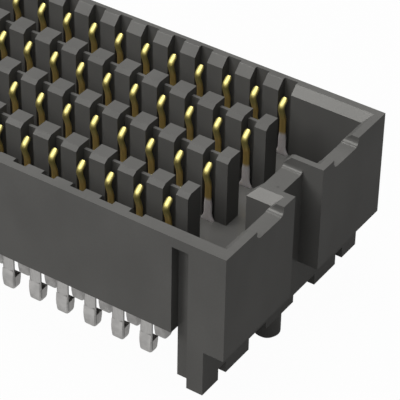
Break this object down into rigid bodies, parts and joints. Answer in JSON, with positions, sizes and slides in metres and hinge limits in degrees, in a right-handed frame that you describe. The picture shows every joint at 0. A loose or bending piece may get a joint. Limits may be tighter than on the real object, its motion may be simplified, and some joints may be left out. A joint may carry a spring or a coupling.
{
  "type": "board to board connector",
  "caption": "Tall open-field socket that stacks two circuit boards: keyed housing, rows of formed spring contacts between ribs, solder charges and locating pegs below.",
  "frame": {"origin": "middle of the footprint, on the surface of the board that it is soldered to", "axes": "+X along the contact columns, +Y from the front wall to the back wall, +Z away from the board, towards the mating connector"},
  "size_m": [0.022, 0.0106, 0.0076],
  "materials": {
    "housing_plastic": "black moulded high-temperature plastic, smooth and slightly satin",
    "contact_metal": "copper alloy strip, gold plated at the mating end and grey below",
    "solder": "soft grey solder, satin"
  },
  "bodies": {
    "root": {"housing": "housing_plastic", "contacts_column_01": "contact_metal", "contacts_column_02": "contact_metal", "contacts_column_03": "contact_metal", "contacts_column_04": "contact_metal", "contacts_column_05": "contact_metal", "contacts_column_06": "contact_metal", "contacts_column_07": "contact_metal", "contacts_column_08": "contact_metal", "contacts_column_09": "contact_metal", "contacts_column_10": "contact_metal", "contacts_column_11": "contact_metal", "contacts_column_12": "contact_metal", "solder_charges_column_01": "solder", "solder_charges_column_02": "solder", "solder_charges_column_03": "solder", "solder_charges_column_04": "solder", "solder_charges_column_05": "solder", "solder_charges_column_06": "solder", "solder_charges_column_07": "solder", "solder_charges_column_08": "solder", "solder_charges_column_09": "solder", "solder_charges_column_10": "solder", "solder_charges_column_11": "solder", "solder_charges_column_12": "solder"}
  },
  "joints": []
}
